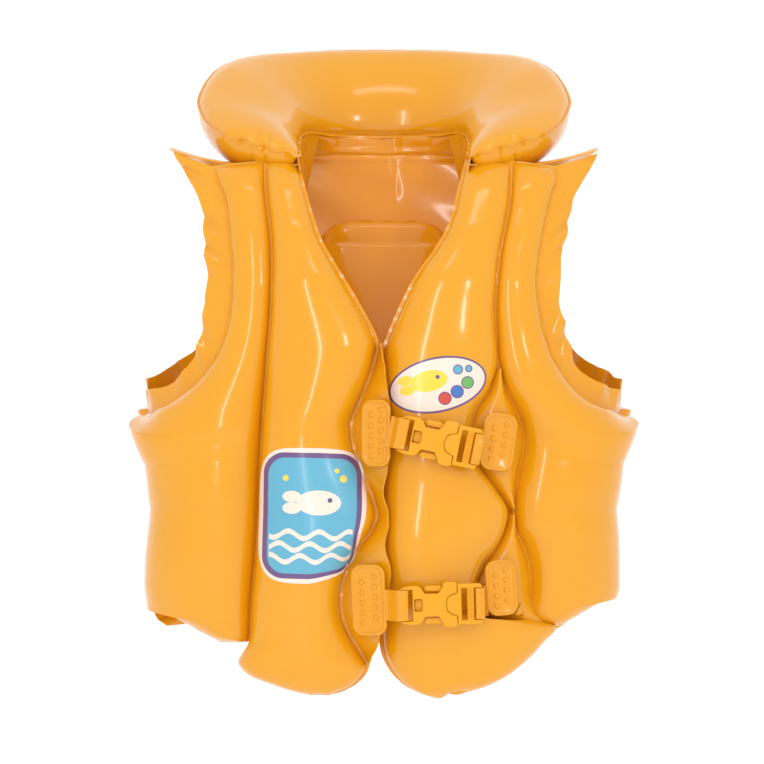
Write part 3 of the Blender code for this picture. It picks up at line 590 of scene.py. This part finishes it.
def tab(name, spec):
    """Moulded pad: a raised rim, a sunk field and rows of raised dots."""
    place = pose(spec["centre"], spec["roll"], spec["yaw"])
    w, h = spec["size"]
    t = TAB_THICK / MM
    profile = [(0.9, -t), (0.2, -t + 0.4), (0.0, -t + 1.0), (0.0, -0.6), (0.4, 0.0), (1.0, 0.2), (1.7, 0.1),
               (2.3, -0.7), (2.9, -1.0)]
    rings = [[(x, y, z) for x, y in rounded(w - 2 * i, h - 2 * i, max(2.0, 8.5 - i))] for i, z in profile]
    parts = [ringed(name + "_pad", rings, place)]
    step = 7.6
    count = int((h - 8) // step)
    for row in range(count):
        for col in (0, 1):
            x = (col - 0.5) * (w - 10) / 1.75
            y = (row - (count - 1) / 2) * step + (col - 0.5) * step / 2
            if abs(y) > h / 2 - 6:
                continue
            dome = [[(x + r * math.cos(2 * math.pi * k / 16), y + r * math.sin(2 * math.pi * k / 16), z)
                     for k in range(16)] for r, z in ((2.2, -1.4), (2.1, -0.8), (1.7, -0.15), (1.1, 0.25),
                                                      (0.4, 0.4))]
            parts.append(ringed(f"{name}_dot_{row}_{col}", dome, place))
    obj = joined(name + "_pad", parts)
    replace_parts(paint(obj, PAD_VINYL), name)
    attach(obj, name.split("_")[0] + "_front_half")


def strap(name, place, bar_edge, bar_width, rear, side, tab_name):
    """Folded vinyl strap looped round a buckle's bar and welded to its tab."""
    spec = TABS[tab_name]
    edge = pose(spec["centre"], spec["roll"], spec["yaw"]) @ Vector((side * -spec["size"][0] / 2 * MM, 0,
                                                                   -TAB_THICK / 2))
    end = place.inverted() @ edge
    end_x, end_out = end.x / MM + side * 1.5, end.z / MM
    loop = [(0.9 - bar_width, -rear), (0.3, -rear), (1.3, 0.9 - rear)]
    path = [(bar_edge - side * a, out) for a, out in loop]
    path += [(bar_edge - side * 1.3, -2.6), (bar_edge - side * 0.8, -1.1), (bar_edge + side * 0.5, -0.75),
             (bar_edge + side * (bar_width - 0.6), -0.75), (bar_edge + side * (bar_width + 1.4), -1.8)]
    path += [(end_x - side * 3.0, end_out + 1.6), (end_x, end_out + 0.5)]
    p, _ = curve(path, np.linspace(0, 1, 70))
    ahead = np.gradient(p, axis=0)
    ahead /= np.linalg.norm(ahead, axis=1, keepdims=True)
    out = np.stack([-ahead[:, 1], ahead[:, 0]], axis=1)
    rings = []
    section = [(11.5, -0.35), (11.5, 0.35), (11.1, 0.75), (10.2, 0.82), (9.6, 0.55), (8.8, 0.5),
               (-8.8, 0.5),
               (-9.6, 0.55), (-10.2, 0.82), (-11.1, 0.75), (-11.5, 0.35), (-11.5, -0.35), (-11.1, -0.75),
               (11.1, -0.75)]
    up = 1 if out[len(p) // 2][1] > 0 else -1
    for (x, z), (nx, nz) in zip(p, out):
        rings.append([(x + nx * h * up, y, z + nz * h * up) for y, h in section])
    obj = ringed(name + "_tape", rings, place)
    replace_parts(paint(obj, STRAP_VINYL), name)
    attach(obj, name.split("_")[0] + "_front_half")


def softened(node, width, body):
    """A CAD moulding with rounded edges."""
    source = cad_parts[node]
    mesh = source.data.copy()
    bm = bmesh.new()
    bm.from_mesh(mesh)
    bmesh.ops.remove_doubles(bm, verts=bm.verts, dist=1e-6)
    bmesh.ops.dissolve_limit(bm, angle_limit=math.radians(1.5), verts=bm.verts, edges=bm.edges)
    bm.to_mesh(mesh)
    bm.free()
    obj = bpy.data.objects.new(node + "_moulding", mesh)
    bpy.context.scene.collection.objects.link(obj)
    bevel = obj.modifiers.new("edges", "BEVEL")
    bevel.width = width
    bevel.segments = 3
    bevel.limit_method = "ANGLE"
    bevel.angle_limit = math.radians(35)
    bevel.use_clamp_overlap = True
    bpy.context.view_layer.update()
    final = bpy.data.meshes.new_from_object(obj.evaluated_get(bpy.context.evaluated_depsgraph_get()))
    obj.modifiers.clear()
    obj.data = final
    if "custom_normal" in final.attributes:
        final.attributes.remove(final.attributes["custom_normal"])
    final.shade_smooth()
    final.set_sharp_from_angle(angle=math.radians(30))
    pieces[obj.name] = obj
    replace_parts(paint(obj, NYLON), node)
    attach(obj, body)
    return obj


def fastenings():
    """Tabs, straps and the two buckles with their ridged bars."""
    for name, spec in TABS.items():
        tab(name, spec)
    for level, spec in (("upper", UPPER_BUCKLE), ("lower", LOWER_BUCKLE)):
        place = pose(**spec)
        strap(f"left_{level}_strap", place, -25.7, 5.0, 7.3, -1, f"left_{level}_tab")
        strap(f"right_{level}_strap", place, 27.4, 3.3, 6.5, 1, f"right_{level}_tab")
        softened(f"{level}_socket", 0.45 * MM, "left_front_half")
        softened(f"{level}_plug", 0.40 * MM, "right_front_half")
        ribs = []
        for k in range(11):
            y = (k - 5) * 2.15
            section = [(y - 0.75, -0.55), (y + 0.75, -0.55), (y + 0.45, 0.25), (y - 0.45, 0.25)]
            rings = [[(x, a, b) for a, b in section] for x in (20.1, 24.1)]
            ribs.append(ringed(f"{level}_rib_{k}", rings, place))
        obj = joined(f"{level}_plug_ribs", ribs)
        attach(paint(obj, NYLON), "right_front_half")
        for which in ("top", "bottom"):
            softened(f"{level}_{which}_prong", 0.45 * MM, f"{level}_{which}_prong")


# ---------------------------------------------------------------- valves

def turned(name, profile, matrix, steps=48):
    """Turned piece from (radius, height) millimetres listed round its section."""
    closed = profile[0][0] > 0
    verts, rings = [], []
    for r, z in profile:
        ring = []
        for k in range(1 if r == 0 else steps):
            a = 2 * math.pi * k / steps
            ring.append(len(verts))
            verts.append(matrix @ Vector((r * MM * math.cos(a), r * MM * math.sin(a), z * MM)))
        rings.append(ring)
    faces = []
    for a, b in list(zip(rings, rings[1:])) + ([(rings[-1], rings[0])] if closed else []):
        for k in range(steps):
            m = (k + 1) % steps
            faces.append(tuple(dict.fromkeys([a[k % len(a)], a[m % len(a)], b[m % len(b)], b[k % len(b)]])))
    return mesh_object(name, verts, faces, 35)


VALVES = {
    "left_front": ((-0.055, -0.0584, 0.205), (0.15, 1, 0), "left_front_half"),
    "right_front": ((0.035, -0.0615, 0.205), (0.03, 1, 0), "right_front_half"),
    "back": ((0.0, 0.0970, 0.300), (0, 1, 0), "vest_back"),
    "collar": ((0.0, 0.1317, 0.4577), (0, 0.90, -0.42), "vest_back"),
}


def valves():
    """Four inflation valves: ring, mouth with its flap, and cap on a short tether."""
    for label, (point, outward, body) in VALVES.items():
        axis = Vector(outward).normalized()
        place = Matrix.Translation(point) @ axis.to_track_quat("Z", "Y").to_matrix().to_4x4()
        ring = turned(f"{label}_valve_ring", [(5.2, -3), (6.1, -3), (6.1, 0.3), (7.2, 0.75), (9.2, 0.8),
                                              (9.8, 1.1), (9.8, 1.4), (9.0, 1.75), (6.4, 1.9), (5.8, 2.4),
                                              (5.2, 2.3)], place)
        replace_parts(paint(ring, CLEAR), f"{label}_valve_base")
        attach(ring, body)
        mouth = turned(f"{label}_valve_mouth_tube", [(3.3, -9), (4.6, -9), (4.9, -8.6), (4.9, 2.7),
                                                     (4.6, 3.2), (3.7, 3.25), (3.3, 2.9)], place)
        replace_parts(paint(mouth, CLEAR), f"{label}_valve_stem")
        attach(mouth, f"{label}_valve_mouth")
        flap = turned(f"{label}_valve_check", [(0, -8.2), (2.7, -8.2), (2.9, -8.0), (2.9, -7.6),
                                               (2.7, -7.4), (0, -7.4)], place, 32)
        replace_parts(paint(flap, CLEAR), f"{label}_valve_flap")
        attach(flap, f"{label}_valve_mouth")
        cap = turned(f"{label}_cap_disc", [(0, 1.7), (1.9, 1.7), (2.3, 2.0), (2.7, 3.6), (5.1, 3.6),
                                           (5.4, 3.9), (5.4, 4.4), (4.9, 4.9), (4.1, 5.1), (3.9, 5.5),
                                           (2.0, 5.6), (1.6, 5.2), (0, 5.1)], place)
        strip = ((-1.2, 3.75), (1.2, 3.75), (1.2, 4.45), (-1.2, 4.45))
        tether = ringed(f"{label}_tether", [[(x, y, z) for y, z in strip] for x in (4.6, 8.6)], place)
        obj = joined(f"{label}_valve_cap_moulding", [cap, tether])
        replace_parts(paint(obj, CLEAR), f"{label}_valve_cap")
        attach(obj, f"{label}_valve_stopper")


# ---------------------------------------------------------------- printed motifs

class Plan:
    """Shapes drawn with math nodes from a print's own millimetre coordinates."""

    def __init__(self, tree):
        self.tree = tree
        uv = tree.nodes.new("ShaderNodeUVMap")
        uv.uv_map = "print"
        split = tree.nodes.new("ShaderNodeSeparateXYZ")
        tree.links.new(uv.outputs["UV"], split.inputs[0])
        self.x = self.do("MULTIPLY", split.outputs[0], 100.0)
        self.y = self.do("MULTIPLY", split.outputs[1], 100.0)

    def do(self, op, a, b=None):
        n = self.tree.nodes.new("ShaderNodeMath")
        n.operation = op
        for k, v in enumerate((a, b)):
            if v is None:
                continue
            if isinstance(v, (int, float)):
                n.inputs[k].default_value = v
            else:
                self.tree.links.new(v, n.inputs[k])
        return n.outputs[0]

    def length(self, a, b):
        return self.do("SQRT", self.do("ADD", self.do("MULTIPLY", a, a), self.do("MULTIPLY", b, b)))

    def box(self, cx, cy, half_w, half_h, radius):
        qx = self.do("SUBTRACT", self.do("ABSOLUTE", self.do("SUBTRACT", self.x, cx)), half_w - radius)
        qy = self.do("SUBTRACT", self.do("ABSOLUTE", self.do("SUBTRACT", self.y, cy)), half_h - radius)
        far = self.length(self.do("MAXIMUM", qx, 0.0), self.do("MAXIMUM", qy, 0.0))
        near = self.do("MINIMUM", self.do("MAXIMUM", qx, qy), 0.0)
        return self.do("SUBTRACT", self.do("ADD", far, near), radius)

    def oval(self, cx, cy, a, b):
        dx = self.do("DIVIDE", self.do("SUBTRACT", self.x, cx), a)
        dy = self.do("DIVIDE", self.do("SUBTRACT", self.y, cy), b)
        return self.do("MULTIPLY", self.do("SUBTRACT", self.length(dx, dy), 1.0), min(a, b))

    def wave(self, base, height, length, phase, half):
        """Distance from a wavy band at height base."""
        angle = self.do("ADD", self.do("MULTIPLY", self.x, 2 * math.pi / length), phase)
        crest = self.do("MULTIPLY", self.do("SINE", angle), height)
        off = self.do("ABSOLUTE", self.do("SUBTRACT", self.do("SUBTRACT", self.y, base), crest))
        return self.do("SUBTRACT", off, half)

    def mask(self, distance, soft=0.3):
        n = self.do("SUBTRACT", 0.5, self.do("DIVIDE", distance, soft))
        n.node.use_clamp = True
        return n

    def over(self, under, colour, mask):
        n = self.tree.nodes.new("ShaderNodeMix")
        n.data_type = "RGBA"
        sockets = [s for s in n.inputs if s.type == "RGBA"]
        if isinstance(under, tuple):
            sockets[0].default_value = (*under, 1)
        else:
            self.tree.links.new(under, sockets[0])
        sockets[1].default_value = (*colour, 1)
        self.tree.links.new(mask, n.inputs[0])
        return [s for s in n.outputs if s.type == "RGBA"][0]


PALE, PURPLE, TEAL = (0.83, 0.70, 0.60), (0.135, 0.070, 0.205), (0.105, 0.390, 0.545)
YELLOW, RED, BLUE, GREEN = (0.90, 0.62, 0.05), (0.62, 0.06, 0.04), (0.05, 0.16, 0.48), (0.14, 0.42, 0.10)


def fish(plan, colour, cx, cy, size, body, eye):
    """A plain fish: an oval body and a tail of two ovals."""
    shape = plan.oval(cx, cy, size, size * 0.56)
    for s in (1, -1):
        fin = plan.oval(cx - size * 1.22, cy + s * size * 0.26, size * 0.42, size * 0.26)
        shape = plan.do("MINIMUM", shape, fin)
    colour = plan.over(colour, body, plan.mask(shape))
    pupil = plan.oval(cx + size * 0.5, cy + size * 0.12, size * 0.11, size * 0.11)
    return plan.over(colour, eye, plan.mask(pupil))


def print_material(name, draw):
    """Glossy printed film with the colours that draw gives."""
    m, tree, shader = nodes_of(name)
    plan = Plan(tree)
    tree.links.new(draw(plan), shader.inputs["Base Color"])
    tree.links.new(spread(tree, noise(tree, 70), 0.26, 0.36), shader.inputs["Roughness"])
    bumps(tree, shader, [(noise(tree, 30, 2), 0.0004), (noise(tree, 1200, 2), 0.00002)])
    shader.inputs["Coat Weight"].default_value = 0.3
    shader.inputs["Coat Roughness"].default_value = 0.15
    return m


def badge_art(plan):
    """Rounded badge with a pale border, a purple ring and a fish over waves on teal."""
    colour = plan.over(PALE, PURPLE, plan.mask(plan.box(0, 0, 37.0, 47.0, 16)))
    colour = plan.over(colour, TEAL, plan.mask(plan.box(0, 0, 33.2, 43.2, 13)))
    inside = plan.box(0, 0, 31.8, 41.8, 12)
    for base, phase in ((-14, 0.0), (-23, 1.9), (-32, 3.8)):
        band = plan.do("MAXIMUM", plan.wave(base, 2.6, 23, phase, 1.9), inside)
        colour = plan.over(colour, PALE, plan.mask(band))
    colour = fish(plan, colour, 5, 10, 16.5, PALE, PURPLE)
    for cx, cy, r in ((23, 28, 2.6), (18, 34, 1.8), (-20, 28, 2.2)):
        colour = plan.over(colour, YELLOW, plan.mask(plan.oval(cx, cy, r, r)))
    return colour


def decal_art(plan):
    """Pale patch with a purple outline, a yellow fish and coloured bubbles."""
    colour = plan.over(PURPLE, PALE, plan.mask(plan.oval(0, 0, 35.6, 19.0)))
    colour = fish(plan, colour, -6, 4, 14, YELLOW, PURPLE)
    for cx, cy, r, tint in ((3, -11, 4.2, RED), (13, -8, 4.2, BLUE), (22, -3, 4.0, GREEN),
                            (17, 8, 3.0, TEAL), (25, 7, 2.0, TEAL)):
        colour = plan.over(colour, PURPLE, plan.mask(plan.oval(cx, cy, r + 0.8, r + 0.8)))
        colour = plan.over(colour, tint, plan.mask(plan.oval(cx, cy, r, r)))
    return colour


def print_patch(name, target, centre, radius_at, turn, material):
    """Thin printed patch laid on a chamber: radius_at gives its outline in millimetres."""
    mesh = target.data
    tree = BVHTree.FromPolygons([v.co[:] for v in mesh.vertices], [tuple(p.vertices) for p in mesh.polygons])
    rings, steps = 26, 120
    turn = math.radians(turn)
    skins, flat = ([], []), []

    def seen(a, far):
        """Where the ray through a point of the print meets the chamber, or the nearest inside its edge."""
        while True:
            x, z = far * MM * math.cos(a + turn), far * MM * math.sin(a + turn)
            hit, normal, _, _ = tree.ray_cast(Vector((centre[0] + x, -0.4, centre[1] + z)), Vector((0, 1, 0)))
            if hit is not None and normal.y < FACING:
                return hit, normal, far
            far -= 0.5

    reach = [seen(2 * math.pi * k / steps, radius_at(2 * math.pi * k / steps))[2] for k in range(steps)]
    reach = [far / radius_at(2 * math.pi * k / steps) for k, far in enumerate(reach)]
    window = range(-5, 6)
    reach = [min(reach[(k + d) % steps] for d in window) for k in range(steps)]
    reach = [sum(reach[(k + d) % steps] for d in window) / len(window) for k in range(steps)]
    for r in range(rings + 1):
        for k in range(steps if r else 1):
            a = 2 * math.pi * k / steps
            far = radius_at(a) * r / rings
            flat.append((far * math.cos(a) / 100, far * math.sin(a) / 100))
            share = 1 - (1 - reach[k]) * (r / rings) ** 3
            hit, normal, _ = seen(a, far * share)
            for skin, out in zip(skins, (PRINT_OUT, PRINT_IN)):
                skin.append(hit + normal * out)
    count = len(flat)
    faces = []
    at = lambda r, k: 0 if r == 0 else 1 + (r - 1) * steps + k % steps
    for base, flip in ((0, False), (count, True)):
        for r in range(rings):
            for k in range(steps):
                f = list(dict.fromkeys([at(r, k) + base, at(r + 1, k) + base, at(r + 1, k + 1) + base,
                                        at(r, k + 1) + base]))
                faces.append(tuple(f[::-1] if flip else f))
    for k in range(steps):
        faces.append((at(rings, k), at(rings, k) + count, at(rings, k + 1) + count, at(rings, k + 1)))
    obj = mesh_object(name, skins[0] + skins[1], faces, 60)
    layer = obj.data.uv_layers.new(name="print")
    for loop in obj.data.loops:
        layer.data[loop.index].uv = flat[loop.vertex_index % count]
    width = 2 * radius_at(0) * MM
    return paint(obj, material)


def rounded_square(half_w, half_h, power):
    """Radius of a superellipse as a function of the angle."""
    return lambda a: (abs(math.cos(a) / half_w) ** power + abs(math.sin(a) / half_h) ** power) ** (-1 / power)


def prints():
    """The badge on the left front and the decal on the right front."""
    badge = print_patch("left_badge_print", pieces["left_front_tube"], (-0.0537, 0.1373),
                        rounded_square(40.4, 50.5, 4.6), -1, print_material("badge_print", badge_art))
    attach(badge, "left_front_half")
    decal = print_patch("right_badge_print", pieces["right_front_tube"], (0.0400, 0.2350),
                        rounded_square(37.0, 20.5, 2.0), 12, print_material("decal_print", decal_art))
    bend(decal)


# ---------------------------------------------------------------- stage

def stage():
    """White sweep, white world, three lights and the camera."""
    m, tree, shader = nodes_of("studio_floor")
    shader.inputs["Base Color"].default_value = (0.95, 0.95, 0.95, 1)
    shader.inputs["Roughness"].default_value = 0.9
    shader.inputs["Specular IOR Level"].default_value = 0.0
    shader.inputs["Emission Color"].default_value = (1, 1, 1, 1)
    shader.inputs["Emission Strength"].default_value = 0.12
    profile = [(-4.0, -0.30), (2.5, -0.30), (3.2, -0.22), (3.7, 0.1), (3.9, 0.7), (3.95, 4.0)]
    p, _ = curve(profile, np.linspace(0, 1, 60))
    verts = [(x, y, z) for y, z in p for x in (-6, 6)]
    faces = [(2 * k, 2 * k + 1, 2 * k + 3, 2 * k + 2) for k in range(len(p) - 1)]
    floor = mesh_object("studio_sweep", verts, faces, 0)
    floor.data.materials.append(m)
    pieces.pop("studio_sweep")
    bpy.context.scene.view_settings.view_transform = "Standard"
    world = bpy.data.worlds.new("studio")
    bpy.context.scene.world = world
    world.use_nodes = True
    world.node_tree.nodes["Background"].inputs["Color"].default_value = (1, 1, 1, 1)
    world.node_tree.nodes["Background"].inputs["Strength"].default_value = 1.0
    lights = [("left_box", (-0.62, -2.1, 0.75), 0.10, 1.5, 7.0),
              ("right_box", (0.9, -2.0, 1.0), 0.20, 0.5, 5.0), ("top_box", (0.0, -1.0, 2.0), 1.0, 0.2, 2.5)]
    for name, at, w, h, power in lights:
        data = bpy.data.lights.new(name, "AREA")
        data.shape = "RECTANGLE"
        data.size, data.size_y, data.energy = w, h, power
        light = bpy.data.objects.new(name, data)
        light.location = at
        light.rotation_euler = (Vector((0, 0, 0.24)) - Vector(at)).to_track_quat("-Z", "Y").to_euler()
        bpy.context.scene.collection.objects.link(light)
    camera = bpy.data.objects.new("camera", bpy.data.cameras.new("camera"))
    camera.data.sensor_width = 36
    camera.data.lens = 36 / (764 * 0.000781 / 2.2)
    camera.location = (-0.0016, -2.2, 0.237)
    camera.rotation_euler = (math.pi / 2, 0, 0)
    bpy.context.scene.collection.objects.link(camera)
    bpy.context.scene.camera = camera


fronts()
backs()
collar()
flat_vinyl()
side_seams()
fastenings()
valves()
prints()
for name in ("left_front_tube", "left_side_tube", "placket", "left_front_armhole_film"):
    bend(pieces[name])
for name in ("right_front_tube", "right_side_tube", "right_front_armhole_film"):
    bend(pieces[name])
for name in ("right_upper_web_film", "right_lower_web_film"):
    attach(pieces[name], "right_front_half")
for name in ("back_center_tube", "back_left_tube", "back_right_tube", "yoke_panel", "collar_pillow_skin",
             "left_back_armhole_film", "right_back_armhole_film", "left_shoulder_film", "right_shoulder_film",
             "left_neck_film", "right_neck_film"):
    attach(pieces[name], "vest_back")
stage()
